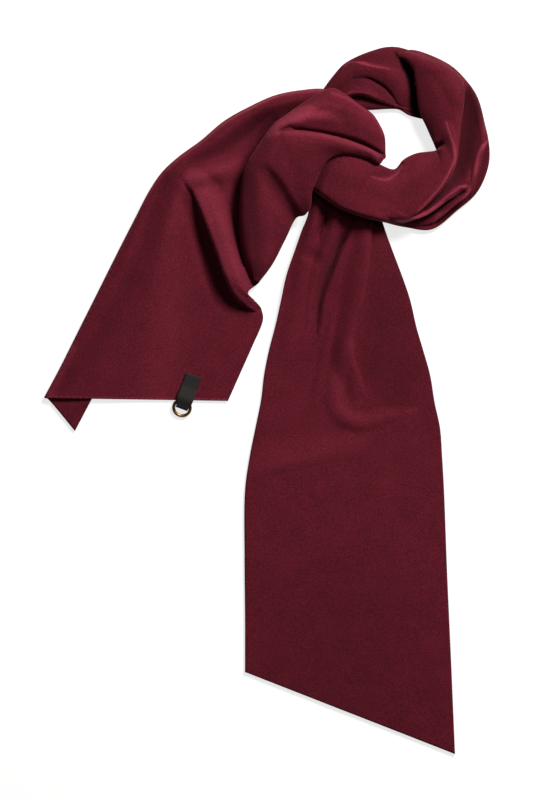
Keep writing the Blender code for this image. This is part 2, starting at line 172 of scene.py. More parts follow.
LEFT_TAIL_FOLDS = {
    "hump": ((
        (-31, 232, 3, 16, 14), (-50, 229, 6, 16, 14), (-66, 224, 6, 14, 12),
        (-82, 216, 1, 12, 10)), 2, 2, 0, .22),
    "long ridge": ((
        (-74, 222, 1, 14, 10), (-66, 212, 5, 16, 10), (-58, 198, 10, 18, 11), (-48, 175, 15, 18, 11),
        (-38, 150, 17, 17, 12), (-30, 128, 17, 16, 12), (-22, 110, 13, 13, 12), (-13, 98, 6, 9, 9),
        (-6, 92, 0, 6, 6)), 3, 5, 5, .35),
    "trough beside the turned edge": ((
        (-98, 220, -1, 16, 8), (-114, 185, -4, 20, 10), (-126, 150, -4, 22, 10), (-143, 108, -3, 24, 12),
        (-161, 75, -2, 22, 12), (-186, 38, -1.5, 18, 12), (-206, 10, -.8, 14, 10)), 2, 2, 0, -.2),
    "lit corner of the hem": ((
        (-216, 6, 0, 3, 8), (-211, 16, 0, 3, 8), (-203, 32, 0, 3, 8),
        (-193, 52, 0, 2, 6)), 2, 2, 0, .32),
    "lit panel": ((
        (-88, 200, 0, 14, 10), (-94, 150, 0, 26, 20), (-98, 100, 0, 34, 26), (-104, 50, 0, 36, 30),
        (-108, 10, 0, 36, 30)), 2, 2, 0, .16),
    "painted highlight along the hem's cut edge": ((
        (-222, 1.5, 0, 3.4, 3.4), (-150, .5, 0, 3.4, 3.4), (-90, -.5, 0, 3.4, 3.4),
        (-38, -1, 0, 3.4, 3.4)), 2, 2, 0, 1.3),
    "lit turned edge": ((
        (-220, 4, 0, 2.5, 2.5), (-185, 70, 0, 2.5, 2.5), (-145, 150, 0, 2.5, 2.5),
        (-115.5, 207, 0, 2.5, 2.5), (-102, 225.5, 0, 2.5, 2.5), (-86, 240.5, 0, 2.5, 2.5),
        (-64.5, 256.5, 0, 3, 3), (-40.5, 276.5, 0, 3, 3), (-15.5, 290.5, 0, 3, 3), (9, 301.5, 0, 3, 3),
        (34, 306.5, 0, 3, 3), (59, 308, 0, 3, 3)), 2, 2, 0, .6),
    "hollow under the ridge": ((
        (-76, 202, 0, 6, 10), (-71, 182, -3, 7, 12), (-60, 152, -5, 8, 15), (-50, 124, -6, 9, 17),
        (-38, 100, -5, 10, 15), (-20, 87, 0, 8, 8)), 2, 2, 0, -.4),
    "valley beside the wrap": ((
        (10, 281, -1, 4, 6), (-5, 258, -5, 8, 12), (-18, 237, -6, 8, 15), (-27, 215, -6, 9, 15),
        (-30, 185, -6, 8, 12), (-28, 160, -6, 7, 10), (-22, 138, -4, 6, 8)), 2, 2, 0, -.35),
    "trough inside the outer fold": ((
        (-96, 225, 0, 10, 14), (-78, 234, -3, 12, 16), (-50, 244, -5, 14, 18), (-22, 262, -5, 14, 16),
        (-2, 276, -5, 14, 14), (14, 284, -5, 12, 12), (28, 291, -3, 8, 10),
        (44, 297, 0, 6, 8)), 2, 2, 0, -.15),
}

# ---------------------------------------------------------------- the wrap over the knot

# Each fold line is a row of x, y and height, one point for each section from inside the neck loop to the
# tip beside the long ridge.
WRAP = {
    "top rim": (
        (100, 276, 12), (108, 280, 22), (103, 286, 28), (92, 293, 31), (80, 302.5, 30), (66, 309.5, 27),
        (51, 303.5, 25), (36, 294, 24.5), (22, 284, 24), (9, 274, 25), (-8, 251, 22), (-20, 230, 19),
        (-25, 200, 18), (-25, 165, 15), (-20, 138, 14), (-13, 120, 12)),
    "shoulder": (
        (103, 272, 12), (112, 274, 24), (105, 279, 34), (94, 286, 37), (79, 293, 38), (65, 301, 34),
        (51, 297, 33), (36.5, 288.5, 33), (23, 280, 33), (10, 271, 32), (-5, 249, 30), (-17, 229, 27),
        (-22, 200, 25), (-22, 165, 21), (-18, 138, 18), (-12, 119.5, 13)),
    "upper pleat": (
        (106, 264, 12), (117, 263, 24), (108, 266, 36), (95, 273, 40), (79, 278, 41), (63, 281, 42),
        (48, 281, 42), (34, 278, 41), (22, 275, 39), (10, 267, 37), (-2, 246, 35), (-12, 227, 32),
        (-16, 199, 29), (-16, 164, 25), (-14, 137, 21), (-11, 119, 14)),
    "crease": (
        (108, 250, 12), (118, 245.5, 22), (110.5, 247.5, 34), (96, 254, 38), (79, 260, 38),
        (62, 264.3, 39), (46, 267.5, 39), (32, 268, 38), (20, 270, 36), (11, 261, 39), (2, 241, 38),
        (-7, 224, 34), (-9, 197, 31), (-10, 164, 26), (-10, 137, 22), (-10.5, 119, 14)),
    "lower pleat's rim": (
        (109, 247, 12), (118.3, 243.6, 24), (110, 246, 37), (96, 252.6, 40), (79, 258.6, 41),
        (62, 263.2, 42), (46, 268, 42), (32, 268, 41), (20, 268.5, 40), (13, 257, 41), (6, 237, 39),
        (-1, 220, 34), (-2, 195, 30), (-4, 163, 26), (-6, 137, 22), (-10, 119, 14)),
    "lower pleat": (
        (110, 244, 12), (118, 241.8, 25), (110.5, 243.3, 39), (97.5, 249.5, 42), (81, 253.5, 44),
        (64, 257, 46), (49, 257, 46), (36, 256, 46), (25, 254, 45), (18, 247, 43), (13, 230, 40),
        (7, 214, 34), (7, 192, 29), (3, 163, 25), (-2, 136, 21), (-9.5, 118.5, 13)),
    "slope": (
        (110, 242, 13), (116, 240, 25), (111, 240, 38), (99, 246, 41), (83, 249, 43), (68, 250, 44),
        (55, 247, 43), (44, 242, 43), (35, 237, 42), (28, 230, 40), (24, 218, 37), (21, 203, 32),
        (18, 188, 25), (11, 162, 21), (2, 136, 18), (-9, 118.5, 13)),
    "low rim": (
        (109, 239, 14), (114, 237, 24), (111, 236, 34), (100, 241, 36), (84, 244, 37), (72, 244, 37),
        (61, 239, 37), (53, 229, 35), (48, 218, 33), (44.5, 207, 30), (43.5, 194, 24), (38, 185.5, 17),
        (30, 183, 13), (18.5, 161, 12), (5.5, 136, 12), (-8, 118, 11)),
}
WRAP_ROLL = (6, 8)            # how far its rims roll in and down

# The painted light and shade of each fold line, from the top rim's rolled edge to the low rim's: painted
# shade on the rolled edges and the low rim, a little painted light on the lower pleat.
WRAP_PAINTED_LIGHT = (-.7, 0, 0, 0, 0, .1, .05, 0, -.1, -.8)

# The last number of each fold is its painted light: highlights on rims and ridges, painted shade in
# hollows and creases.
WRAP_FOLDS = {
    "crease between the pleats": ((
        (15, 268.5, 0, 3, 3), (24, 268, -3, 3, 2), (34, 268, -7, 3.5, 1.6), (46.5, 266.4, -9, 4, 1.6),
        (62, 263.6, -9, 4.5, 1.6), (80, 259, -10, 5, 1.6), (95.6, 253.5, -10, 5.5, 1.6),
        (108, 247.4, -9, 5.5, 1.6), (117, 241.5, -7, 5, 2)), 2, 4, 0, -.3),
    "rim below the crease": ((
        (12, 265, 0, 3, 5), (34, 265, .5, 2, 5), (64, 261, .5, 2, 5), (95, 251, .5, 2, 5),
        (112, 243, 0, 2, 4)), 2, 2, 0, .4),
    "dent under the top rim": ((
        (38, 287, 0, 4, 4), (49, 288, -2, 5, 5), (64, 288, -2, 5, 5), (79, 285, 0, 5, 5)), 2, 2, 0, -.2),
    "painted highlight on the rim towards the opening": ((
        (66, 305, 0, 2, 3), (79, 300, 0, 2, 3), (94, 291, 0, 2, 3), (108, 280, 0, 2, 3),
        (116, 265, 0, 2, 3)), 2, 2, 0, .5),
    "lit top rim": ((
        (4, 264, 0, 3, 6), (10, 271, 0, 4, 9), (18, 278, .5, 5, 11), (28, 284, 1, 6, 12),
        (38, 288, .5, 6, 12), (46, 290, 0, 4, 8), (52, 290, 0, 1, 2)), 2, 2, 0, .55),
    "light fading along the top rim": ((
        (6, 264, 0, 6, 6), (16, 273, 0, 12, 10), (30, 280, 0, 14, 12), (44, 286, 0, 13, 12),
        (58, 290, 0, 10, 10), (72, 290, 0, 5, 5)), 2, 2, 0, .2),
    "shade over the crease's end": ((
        (15, 270, 0, 3, 3), (24, 271.5, 0, 4.5, 3), (38, 272, 0, 3, 3)), 2, 2, 0, -.4),
    "shaded bulge": ((
        (-14, 222, 0, 8, 8), (-12, 190, 0, 14, 12), (-8, 155, 0, 14, 12),
        (-9, 125, 0, 8, 8)), 2, 2, 0, -.3),
    "lit pleat": ((
        (28, 276, 0, 5, 5), (42, 282, 0, 6, 6), (58, 282, 0, 6, 6), (74, 277, 0, 5, 5)), 2, 2, 0, .3),
    "shaded face": ((
        (58, 274, 0, 7, 7), (76, 279, 0, 12, 10), (94, 272, 0, 12, 10),
        (108, 260, 0, 8, 8)), 2, 2, 0, -.22),
    "slanting crease": ((
        (-6, 233, 0, 8, 10), (2, 226, -2, 8, 14), (10, 215, -3, 9, 17), (19, 201, -3.8, 9, 18),
        (27, 188, -3.8, 9, 18)), 2, 2, 0, -.12),
    "lit flank over the neck loop": ((
        (57, 236, 0, 5, 3), (66, 242, 0, 5, 3), (76, 246.5, 0, 5, 3), (88, 247.5, 0, 5, 3),
        (100, 244, 0, 5, 3), (110, 240, 0, 4, 3)), 2, 2, 0, .3),
}

# ---------------------------------------------------------------- the neck loop

# From under the wrap, round the neck, to the fold at the top.
NECK_LOOP = {
    "inner rim": (
        (42, 240, 22), (74, 249, 32), (102, 239, 29), (128, 229, 20), (138, 239, 16), (150, 245, 13),
        (171, 249, 13), (169, 255, 15), (165, 264, 13), (161, 273, 14), (155, 286, 15), (152, 300, 16),
        (150, 316, 18), (147, 331, 18), (138, 341, 14), (130, 342.5, 5)),
    "near side": (
        (41.5, 235, 25), (74, 242, 36), (100, 236, 34), (126, 221, 27), (141, 231, 23), (151, 239, 22),
        (172, 243, 22), (172, 252, 20), (168.5, 262, 18), (164.5, 271.5, 18), (158.5, 285.5, 19),
        (155, 300, 20), (153, 317, 22), (150, 332, 22), (139.5, 342, 17), (131, 343.5, 7)),
    "crown": (
        (41, 229, 27), (74, 228, 38), (99, 220, 37), (121, 210, 33), (135, 213, 30), (152, 220, 29),
        (172, 228, 28), (178, 242, 27), (179, 254, 24), (177, 268, 25), (174, 284, 26), (171, 302, 27),
        (168, 320, 27), (160, 335, 26), (141, 344.5, 17), (132, 344.5, 8)),
    "tube's rim": (
        (41, 224, 28), (74, 212, 37), (99, 202, 35.9), (119, 196, 32.4), (141, 184, 28.5),
        (155.5, 192, 27.5), (176, 213, 28), (185.5, 229.5, 28), (188.8, 242.5, 28), (190.5, 258, 28),
        (192.5, 279, 28), (195.5, 300, 27), (194, 315.5, 24), (177, 331.5, 23), (143, 345.5, 16),
        (132.5, 345.5, 8)),
    "tube's foot": (
        (40.7, 222, 28), (74, 207.2, 36.9), (99, 197.5, 35.8), (119, 191.5, 32.3), (141, 182.6, 28),
        (154, 190.6, 20), (174, 212, 15), (184, 229, 11), (187.2, 243, 9), (189, 258, 7), (191, 279, 6),
        (194, 300, 9), (196, 316, 17), (179.2, 332.2, 19), (143.6, 346, 14), (133, 345.8, 7.5)),
    "side panel": (
        (40.5, 221, 27.8), (74, 204, 36.8), (99, 194.4, 35.7), (118, 187.5, 32.2), (140.5, 181.4, 27),
        (156.5, 187.8, 19), (179, 203, 15), (194, 218, 12.5), (196, 239, 10.5), (198, 257, 10.5),
        (199, 279, 9), (199.5, 300.5, 11), (196.8, 316.4, 15), (179.8, 332.6, 17), (144.2, 346.4, 13),
        (133.4, 346, 7)),
    "side fold's rim": (
        (40.3, 220, 27.6), (74, 201.1, 36.7), (99, 191.7, 35.6), (118, 184.5, 32), (140, 180, 25),
        (159, 185, 20), (181, 199.5, 20), (200, 213, 16.5), (203, 234, 13.5), (206, 256, 14.5),
        (206, 278.6, 12.5), (203.5, 301, 12.5), (197.4, 316.6, 14), (180.4, 333, 15.5),
        (144.8, 346.8, 12), (133.8, 346.2, 7)),
    "side fold's foot": (
        (40, 219, 27.4), (74, 198.5, 36.5), (99, 189.2, 35.4), (118, 182.5, 31.7), (139, 178.4, 12),
        (158, 186.5, 6), (179.5, 201.5, 6), (200.5, 211.5, 9), (206.5, 232.5, 15), (212, 255.5, 17.5),
        (210.5, 278.2, 15), (206, 301.2, 13.5), (198, 316.8, 13.5), (181, 333.2, 14),
        (145.4, 347.2, 11.5), (134.2, 346.4, 6.5)),
    "second layer's rim": (
        (40, 218, 27), (74, 196.1, 36), (99, 186.8, 34.9), (118, 180.7, 31), (138.5, 177, 8),
        (163, 177, 8), (186.5, 193.5, 19), (205, 210, 17), (210.5, 232, 18), (217.5, 256, 20.5),
        (213.8, 277.8, 17), (208, 301.5, 14), (198.6, 317, 13), (181.5, 333.4, 13), (146, 347.5, 11),
        (134.6, 346.6, 6)),
    "second layer's foot": (
        (40, 217, 25), (74, 193.7, 34.6), (99, 184.6, 33.6), (117.5, 179.6, 29.5), (138, 175.5, 7),
        (163, 175.5, 5), (184.5, 195.5, 6), (204, 209, 8), (209.5, 231, 9), (217.5, 254.5, 9),
        (215.8, 277.4, 13), (209.2, 301.8, 11.5), (199.2, 317.2, 11), (182, 333.6, 10), (146.6, 348, 9),
        (134.8, 346.8, 5.5)),
    "outer rim": (
        (40, 216, 18), (74, 191.5, 26), (99, 182.5, 25), (117, 178.8, 18), (138, 174, 5),
        (165, 171.5, 5), (190, 190, 5), (210, 208, 5), (221, 233, 5), (222, 254, 6), (217, 277, 7),
        (210, 302, 7), (199.8, 317.5, 7), (182.6, 334, 7), (147, 348.5, 7), (135, 347, 5)),
}
NECK_LOOP_ROLL = (7, 12)
NECK_LOOP_DARKENING = (-.04,) * 13   # a little darker than the tails on all its lines

# The last number of each fold is its painted light: highlights on rims and ridges, painted shade in
# hollows and creases.
NECK_LOOP_FOLDS = {
    "dive under the wrap": ((
        (110, 241, 0, 3, 4), (96, 243, -.5, 4, 5), (80, 245, -1, 5, 6), (66, 239, -1.5, 6, 8),
        (56, 228, -3, 8, 14), (50, 215, -4, 8, 16), (46, 198, -4, 7, 16)), 2, 2, 0, -.3),
    "lit lower rim": ((
        (50, 207, 0, 5, 3), (60, 199.5, 0, 5, 3), (75, 193, 0, 5, 3), (95, 185.5, 0, 5, 3),
        (113, 181, 0, 4, 3)), 2, 2, 0, .35),
    "shaded low bend": ((
        (170, 234, 0, 12, 10), (155, 215, 0, 16, 14), (138, 207, 0, 10, 10)), 2, 2, 0, -.16),
    "curl beside the opening": ((
        (136, 236, -6, 2.5, 8), (130, 229, -7, 2.5, 10), (123, 223, -6, 2.5, 12), (114, 221, -5, 3, 12),
        (104, 223, 0, 4, 12)), 4, 2, 0, -.15),
    "rim of the curl": ((
        (136, 232, 0, 2, 2), (128, 223, .5, 2, 2), (118, 218.5, .5, 2, 2),
        (104, 222, 0, 2, 2)), 2, 2, 0, .7),
    "upper ridge": ((
        (164, 340, 0, 8, 14), (174, 331, 2.5, 8, 14), (182, 320, 3, 8, 14), (189, 305, 3, 6, 12),
        (194, 288, 0, 5, 10)), 2, 2, 0),
    "lower ridge": ((
        (180, 278, 0, 4, 14), (185, 267, 2, 3.5, 16), (188, 250, 2.5, 3, 16),
        (188, 238, 1, 3, 10)), 3, 2, 0, .1),
    "painted highlight on the tube's rim": ((
        (180, 276, 0, 1.6, 2), (184, 264, 0, 1.6, 2), (187, 253, 0, 1.6, 2), (188, 241, 0, 1.6, 2),
        (183.5, 229, 0, 1.6, 2), (174.5, 213.5, 0, 1.6, 2), (162, 199.5, 0, 1.6, 2),
        (151, 188, 0, 1.6, 2)), 2, 2, 0, 1.1),
    "painted highlight on the side fold": ((
        (199, 213, 0, 2, 2), (193, 212, 0, 2, 2), (183.6, 205, 0, 2, 2), (173, 195.5, 0, 2, 2),
        (160.5, 186.5, 0, 2, 2), (148, 181.5, 0, 2, 2), (131.5, 179.5, 0, 2, 2)), 2, 2, 0, 1.4),
    "shade under the side fold": ((
        (202, 205, 0, 4, 4), (196, 206, 0, 4, 4), (186, 199, 0, 3, 3), (174, 190.5, 0, 3, 3),
        (159, 182.5, 0, 2.5, 2.5), (139, 177, 0, 2.5, 2.5)), 2, 2, 0, -.7),
    "painted highlight on the second layer": ((
        (220, 258, 0, 2, 2), (215, 251, 0, 2, 2), (210.5, 237, 0, 2, 2), (207.5, 225, 0, 2, 2),
        (204, 213, 0, 2, 2), (198, 201, 0, 2, 2), (185.7, 191.5, 0, 2, 2), (171, 181.5, 0, 2, 2),
        (167, 176, 0, 2, 2)), 2, 2, 0, 1.4),
    "shade beyond the second layer": ((
        (223, 258, 0, 6, 2), (218.5, 244, 0, 8, 3), (215, 230, 0, 8, 3), (210, 213, 0, 8, 3),
        (204, 201, 0, 7, 3), (192, 190, 0, 5, 2)), 3, 2, 0, -.6),
    "shaded panel": ((
        (204, 312, 0, 6, 5), (208, 296, 0, 12, 13), (205, 266, 0, 11, 12), (200, 243, 0, 11, 12),
        (190, 223, 0, 11, 10), (176, 205, 0, 9, 8), (160, 190, 0, 4, 4)), 3, 4, 0, -.5),
    "shaded face": ((
        (157, 326, 0, 8, 8), (166, 300, 0, 12, 12), (166, 275, 0, 10, 8),
        (168, 255, 0, 6, 4)), 2, 2, 0, -.16),
    "shaded bend": ((
        (170, 336, 0, 10, 8), (186, 322, 0, 12, 10), (194, 306, 0, 10, 9),
        (197, 292, 0, 6, 8)), 2, 2, 0, -.12),
    "pocket at the opening": ((
        (169, 250, -8, 5, 4), (173, 253, -10, 5, 4), (178, 258, 0, 4, 4)), 2, 2, 0, -.3),
    "pocket in the side fold": ((
        (184, 199, 0, 4, 4), (194, 207, -4, 5, 4), (201, 209, 0, 4, 4)), 2, 2, 0, -.3),
}

# ---------------------------------------------------------------- where the neck loop starts

# From the knot to under the fold at the top.
NECK_START = {
    "outer rim": (
        (54, 304, 7), (68, 323, 10), (78, 334, 12), (90, 341, 14), (105, 347, 15), (120, 351, 14),
        (135, 350.5, 9), (159, 340, 3), (170, 325, 3)),
    "outer face": (
        (56, 304, 8), (70, 322, 12), (81, 330.5, 14), (93.5, 337.2, 15), (108.8, 335.2, 15),
        (122, 332, 14), (138, 329, 8), (158, 330, 3), (170, 318, 3)),
    "upper fold's rim": (
        (58, 303, 9), (72, 320, 14), (82, 329, 16), (94, 335, 19), (109, 332.5, 20), (122, 329.5, 19),
        (137, 326, 10), (156, 320, 3), (169, 310, 3)),
    "upper fold": (
        (61, 302, 9), (75, 318, 16), (85, 327, 18), (96, 330, 20), (110, 326, 20), (123, 321, 19),
        (140, 308, 11), (152, 305, 3), (167, 300, 3)),
    "crease": (
        (64, 301, 9), (79, 314, 15), (88, 321.5, 17.3), (98, 320.5, 17.8), (110, 316.5, 17),
        (121.5, 308.5, 14), (133, 297.5, 9), (148, 295, 3), (164, 292, 3)),
    "lower fold": (
        (67, 300, 9), (81, 310, 16), (90, 313, 17), (100, 312, 18), (111, 307, 16), (122.5, 301, 13),
        (134, 294, 6), (147, 292, 3), (163, 289, 3)),
    "lower fold's rim": (
        (70, 298, 9), (84, 305, 15), (93, 307, 18), (103, 305, 18), (112.5, 301, 15), (123, 297, 11),
        (133.5, 293, 6), (146, 290, 3), (162, 287, 3)),
    "gap": (
        (73, 296, 8), (85, 301, 9), (94, 304, 6), (103, 301.5, 5), (112, 299, 4), (122.5, 296, 4),
        (133, 292.4, 4), (145, 288, 3), (160.5, 285, 3)),
    "lowest layer": (
        (75, 295, 7), (87, 295, 9), (96, 296, 9), (105, 295, 8), (113.5, 294, 7), (123, 293.5, 6),
        (133, 292, 4), (144, 286.5, 3), (159.5, 283, 3)),
    "inner rim": (
        (76, 294, 6), (88, 290, 5), (97, 290.5, 5), (106, 291, 4), (114, 291.5, 4), (123.5, 292, 4),
        (133, 291.4, 3), (143.5, 285.5, 3), (158, 281.5, 3)),
}
NECK_START_ROLL = (5, 6)
NECK_START_WAVE_HEIGHT = 0.4
NECK_START_PAINTED_SHADE = (0, -.2, -.25, -.15, -.2, -.25, -.2, 0, -.6, -.1, -.1, 0)   # painted shade, darkest in its gap

# The last number of each fold is its painted light: highlights on rims and ridges, painted shade in the
# crease and beside the neck loop.
NECK_START_FOLDS = {
    "shade beside the neck loop": ((
        (129, 346, 0, 2, 2), (134, 341, 0, 4, 4), (141.5, 333, 0, 8, 8), (146.5, 320, 0, 9, 9),
        (149, 306, 0, 9, 10), (151.5, 290, 0, 9, 11), (154, 280, 0, 9, 11)), 3, 3, 0, -1),
    "narrow crease": ((
        (88, 322, 0, 2, 3), (96, 322, -1, 2.5, 3), (103, 320.5, -2.5, 2.5, 3), (110, 317, -3.5, 3, 3),
        (116.5, 313, -3.5, 3, 3), (122, 308, -3.5, 3, 3), (127, 302, -1.5, 3, 3),
        (131, 297, 0, 2, 3)), 2, 2, 0, -.6),
    "painted highlight on the upper rim": ((
        (79, 333, 0, 1.5, 2), (84, 337, 0, 1.5, 2), (94, 335.7, 0, 1.5, 2), (104, 333, 0, 1.2, 1.5),
        (114, 331, 0, .8, 1), (122, 329.5, 0, .4, .5)), 2, 2, 0, 1),
    "painted highlight on the lower rim": ((
        (72, 303, 0, 1.5, 2), (77, 305, 0, 1.5, 2), (84, 307, 0, 1.5, 2), (91, 307.5, 0, 1.5, 2),
        (99, 306.5, 0, 1.5, 2), (106, 303.8, 0, 1.5, 2), (113, 300.5, 0, 1.5, 2),
        (122, 297.5, 0, 1.5, 2), (131, 294, 0, 1, 1)), 2, 2, 0, 1),
}

# ---------------------------------------------------------------- the layers inside

# The layers inside the knot and the neck loop, lower where the loop's folds dip: middle x and y, half
# width, height.
HIDDEN_LAYERS = (
    (-8, 150, 7, 10), (-4, 175, 12, 16), (8, 202, 18, 22), (24, 228, 22, 27), (44, 246, 24, 30),
    (66, 250, 24, 30), (86, 240, 20, 24), (96, 222, 18, 18), (108, 210, 16, 15), (130, 206, 16, 15),
    (156, 206, 14, 14), (180, 222, 13, 8), (192, 250, 14, 6), (188, 278, 14, 5.5), (177, 306, 14, 8),
    (164, 322, 14, 13), (150, 326, 14, 12),
)
LAYER_COUNT = 4               # how many layers show at the solid's edges
LAYER_STEP = 1.4              # how far each layer is set back from the one below it
LAYER_BULGE = 1.2             # how far a layer's rounded edge stands out
LAYER_ROUND = .3 / LAYER_COUNT  # the part of the whole height over which an edge rounds
LEAST_HALF = 1                # half the width that the narrowest layer keeps

# ---------------------------------------------------------------- the tab and the ring

TAPE_WIDTH = 16.4
TAPE_THICKNESS = 0.9
TAPE_LENGTH = 35.4            # from its sewn end to its bend
TAPE_BEND_WIDTH = 12.4        # where the tape is squeezed inside the ring
TAPE_WIDENS_OVER = 6          # how far past the bend it has its full width again
TAPE_COLUMNS = 13             # points across the tape
BEND_PAST_CENTRE = 0.8        # how far the bend reaches past the ring's middle
STRAIGHT_FROM = 2             # how far past the bend the tape is straight
TAPE_PARTS = 10.5             # how far up the tab both layers leave the ring's plane
LOWER_LAYER = (23, 16)        # places up the tab where the lower layer lies on the cloth
UPPER_LAYER = ((16, 2.55), (21, .3), (25, 0))  # the same for the upper one, and its lift off the lower
SEAM_GAP = 0.3
RING_WIRE = 3.3
RING_OUTSIDE = 20.0
RING_TILT = math.radians(17.5)  # how steeply it leans, with its far side on the ground
RING_CENTRE = (-84.0, -7.8)
TAB_LEAN = math.radians(20.2)   # how far the tab leans off the Y axis


# ---------------------------------------------------------------- shaping cloth

def smooth_through(points, steps=NET_STEPS):
    """Points on smooth curves through the given ones along the first axis, steps of them in each span."""
    points = np.asarray(points, float)
    padded = np.concatenate([2 * points[:1] - points[1:2], points, 2 * points[-1:] - points[-2:-1]])
    gaps = np.sqrt(np.linalg.norm(np.diff(padded[..., :3], axis=0), axis=-1, keepdims=True)) + 1e-3
    spans = []
    windows = zip(padded, padded[1:], padded[2:], padded[3:], gaps, gaps[1:], gaps[2:])
    for a, b, c, d, ab, bc, cd in windows:
        leave = ((b - a) / ab - (c - a) / (ab + bc) + (c - b) / bc) * bc
        arrive = ((c - b) / bc - (d - b) / (bc + cd) + (d - c) / cd) * bc
        for step in range(steps):
            t = step / steps
            spans.append(b * (2 * t ** 3 - 3 * t ** 2 + 1) + leave * (t ** 3 - 2 * t ** 2 + t)
                         + c * (3 * t ** 2 - 2 * t ** 3) + arrive * (t ** 3 - t ** 2))
    spans.append(points[-1])
    return np.array(spans)


def evenly_spaced_rows(rows, cell):
    """The grid again, with its rows about a cell apart."""
    steps = np.linalg.norm(np.diff(rows[..., :3], axis=0), axis=-1).mean(axis=1)
    along = np.concatenate([[0], np.cumsum(steps)])
    wanted = np.linspace(0, along[-1], max(int(along[-1] / cell) + 1, 4))
    flat = rows.reshape(len(rows), -1)
    return np.stack([np.interp(wanted, along, flat[:, k]) for k in range(flat.shape[1])],
                    axis=1).reshape(len(wanted), *rows.shape[1:])


def lay_fold(grid, share, fold):
    """Raise, lower and lean the grid's points along one fold, and paint its light or shade; share says
    how much each point follows.
    """
    points, left_flank, right_flank, lean, painted_light = (*fold, 0)[:5]   # a fold may leave out its painted light
    route = smooth_through(points)
    ahead = np.gradient(route[:, :2], axis=0)
    ahead /= np.linalg.norm(ahead, axis=1, keepdims=True)
    plan = grid[..., :2].reshape(-1, 2)
    apart = plan[:, None] - route[None, :, :2]
    nearest = np.argmin((apart ** 2).sum(axis=2), axis=1)
    index = np.arange(len(plan))
    offset = apart[index, nearest]
    direction = ahead[nearest]
    on_left = direction[:, 0] * offset[:, 1] - direction[:, 1] * offset[:, 0] > 0
    reach = np.where(on_left, route[nearest, 3], route[nearest, 4])
    flank = np.where(on_left, left_flank, right_flank)
    far = np.clip(np.linalg.norm(offset, axis=1) / reach, 0, 1)
    swell = ((1 - far ** flank) ** 2 * share.reshape(-1)).reshape(grid.shape[:2])
    height = route[nearest, 2].reshape(grid.shape[:2])
    to_right = np.stack([direction[:, 1], -direction[:, 0]], axis=1).reshape(*grid.shape[:2], 2)
    moved = grid.copy()
    strongest = max(abs(route[:, 2]).max(), 1e-6)
    moved[..., 2] += swell * height
    moved[..., :2] += (swell * lean * abs(height) / strongest)[..., None] * to_right
    # The fold's painted light or shade, kept in each point's fourth value.
    moved[..., 3] += swell * painted_light
    return moved


def ripple(grid, share, depth, seed):
    """Slight unevenness of cloth laid by hand, so many mm deep."""
    moved = grid.copy()
    for row in range(grid.shape[0]):
        for column in range(grid.shape[1]):
            x, y = grid[row, column, :2] / WAVE_LENGTH
            moved[row, column, 2] += depth * share[row, column] * noise.noise((x, y, seed))
    return moved


def straight_sections(table):
    """A net from a table of two edges with three heights: left edge, middle and right edge."""
    rows = []
    for left_x, left_y, right_x, right_y, *heights in table:
        rows.append([(left_x + (right_x - left_x) * share, left_y + (right_y - left_y) * share, height)
                     for share, height in zip((0, .5, 1), heights)])
    return np.array(rows, float)


def fold_lines(table):
    """A net with a row for each section, from a table with a line for each fold."""
    return np.array(list(table.values()), float).transpose(1, 0, 2)


def rolled_under(net, roll):
    """The net with one more line beyond each rim, where the cloth rolls in and down under itself."""
    inward, down = roll
    sides = []
    for rim, inner in ((net[:, 0], net[:, 3]), (net[:, -1], net[:, -4])):
        across = inner[:, :2] - rim[:, :2]
        across /= np.linalg.norm(across, axis=1, keepdims=True)
        below = np.maximum(rim[:, 2:] - down, REST)
        sides.append(np.concatenate([rim[:, :2] + across * inward, below], axis=1)[:, None])
    return np.concatenate([sides[0], net, sides[1]], axis=1)


def turned_under(table):
    """The left tail's net: its turned edge, the round of the fold, and the layer on top."""
    rows = []
    for fold_x, fold_y, inner_x, inner_y, raw_x, raw_y, fold, crest, middle, third, inner in table:
        across = Vector((inner_x - fold_x, inner_y - fold_y))
        inward = across.normalized()
        beside = (fold_x + inward.x * FOLD_ROUND, fold_y + inward.y * FOLD_ROUND)
        top = fold + OPEN_FOLD_RISE
        if fold < PRESSED_FOLD:
            top = max(2 * fold - REST, PRESSED_TOP)
        rows.append([(raw_x, raw_y, REST), (*beside, REST), (fold_x, fold_y, fold), (*beside, top)]
                    + [(fold_x + across.x * share, fold_y + across.y * share, height)
                       for share, height in zip(LEFT_TAIL_SHARES, (crest, middle, third, inner))])
    return np.array(rows, float)


def add_piece(name, points, faces, material):
    """A smooth piece from its points in millimetres."""
    mesh = bpy.data.meshes.new(name)
    mesh.from_pydata((points.reshape(-1, 3) * MM).tolist(), [], faces)
    mesh.shade_smooth()
    mesh.materials.append(material)
    piece = bpy.data.objects.new(name, mesh)
    bpy.context.scene.collection.objects.link(piece)
    return piece


def add_sheet(name, grid, material, thickness=FLEECE):
    """One sheet of cloth over a grid of points, thickened evenly to both sides."""
    rows, columns = grid.shape[:2]
    corner = (np.arange(rows - 1)[:, None] * columns + np.arange(columns - 1)).reshape(-1)
    faces = np.stack([corner, corner + 1, corner + columns + 1, corner + columns], axis=1)
    piece = add_piece(name, grid[..., :3], faces.tolist(), material)
    # Each point's painted light and shade, for the fleece's colour.
    if grid.shape[2] > 3:
        painted_light = piece.data.attributes.new("painted_light", "FLOAT", "POINT")
        painted_light.data.foreach_set("value", grid[..., 3].reshape(-1))
    wall = piece.modifiers.new("cloth thickness", "SOLIDIFY")
    wall.thickness = thickness * MM
    wall.offset = 0.0
    return piece


